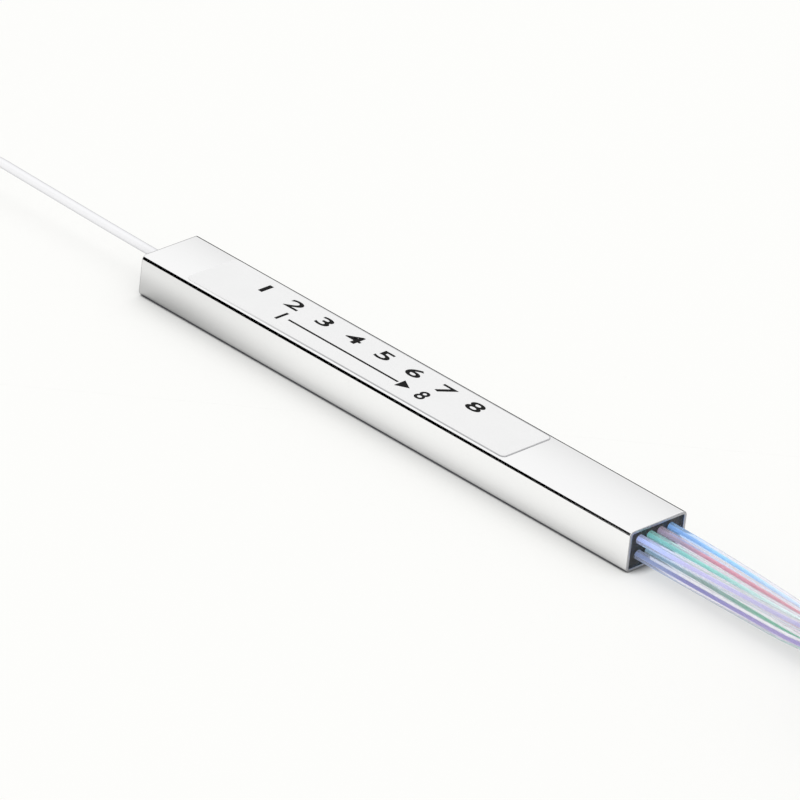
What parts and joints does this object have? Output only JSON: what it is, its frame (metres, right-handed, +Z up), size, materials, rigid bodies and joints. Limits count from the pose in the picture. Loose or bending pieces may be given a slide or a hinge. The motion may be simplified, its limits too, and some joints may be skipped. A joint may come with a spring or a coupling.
{
  "type": "plc fibre splitter",
  "caption": "Slim rectangular steel tube that shares light from its input fibre among its output fibres, with a loose tube at its input end and a bundle of clear loose tubes at its output end.",
  "frame": {"origin": "under the middle of the steel tube, on the surface it lies on", "axes": "+X along the steel tube towards the output tubes, +Y across it, +Z up through the label"},
  "size_m": [0.1783, 0.0239, 0.012],
  "materials": {
    "polished_stainless": "drawn and polished",
    "label_film": "matte film",
    "potting": "cured epoxy",
    "silicon_chip": "polished",
    "clear_glass": "ground and polished",
    "clear_adhesive": "cured adhesive",
    "silicone": "soft silicone",
    "fiber_natural": "clear coating",
    "fiber_blue": "coloured coating",
    "fiber_red": "coloured coating",
    "fiber_green": "coloured coating",
    "fiber_violet": "coloured coating",
    "white_loose_tube": "extruded",
    "clear_loose_tube": "extruded, clear",
    "tie_film": "thin film",
    "print_ink": "printed"
  },
  "bodies": {
    "root": {"steel_tube": "polished_stainless", "top_label": "label_film", "input_end_seal": "potting", "output_end_seal": "potting", "plc_chip": "silicon_chip", "chip_input_lid": "clear_glass", "chip_output_lid": "clear_glass", "input_array_base": "clear_glass", "input_array_lid": "clear_glass", "output_array_base": "clear_glass", "output_array_lid": "clear_glass", "input_fiber_bond": "clear_adhesive", "output_fiber_bond": "clear_adhesive", "input_array_cushion": "silicone", "chip_cushion": "silicone", "output_array_cushion": "silicone", "input_fiber": "fiber_natural", "input_tube": "white_loose_tube", "input_coil": "white_loose_tube", "input_coil_tie": "tie_film", "output_hank_tie": "tie_film", "output_hank": "clear_loose_tube", "output_fiber_1": "fiber_violet", "output_tube_1": "clear_loose_tube", "output_fiber_2": "fiber_violet", "output_tube_2": "clear_loose_tube", "output_fiber_3": "fiber_green", "output_tube_3": "clear_loose_tube", "output_fiber_4": "fiber_green", "output_tube_4": "clear_loose_tube", "output_fiber_5": "fiber_red", "output_tube_5": "clear_loose_tube", "output_fiber_6": "fiber_red", "output_tube_6": "clear_loose_tube", "output_fiber_7": "fiber_blue", "output_tube_7": "clear_loose_tube", "output_fiber_8": "fiber_blue", "output_tube_8": "clear_loose_tube"}
  },
  "joints": []
}
